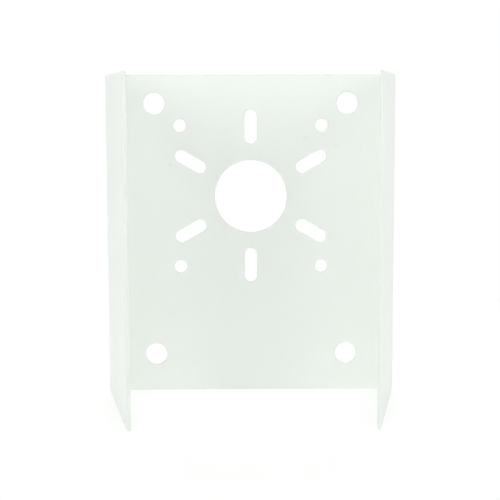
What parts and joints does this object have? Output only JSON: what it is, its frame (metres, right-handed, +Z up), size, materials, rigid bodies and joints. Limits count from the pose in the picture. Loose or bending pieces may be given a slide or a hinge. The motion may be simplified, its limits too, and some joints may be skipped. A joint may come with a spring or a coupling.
{
  "type": "camera mount bracket",
  "caption": "Folded sheet steel channel bracket: a flat plate with a cable hole, radial slots and screw holes between two flanges that lean in over it.",
  "frame": {"origin": "centre of the cable hole, on the plate's flat outer face", "axes": "+X right, +Y out of the plate's outer face, away from the flanges, +Z up towards the end nearer the cable hole"},
  "size_m": [0.13, 0.075, 0.144],
  "materials": {
    "coated_steel": "satin white powder coat on folded sheet steel"
  },
  "bodies": {
    "root": {"bracket": "coated_steel"}
  },
  "joints": []
}
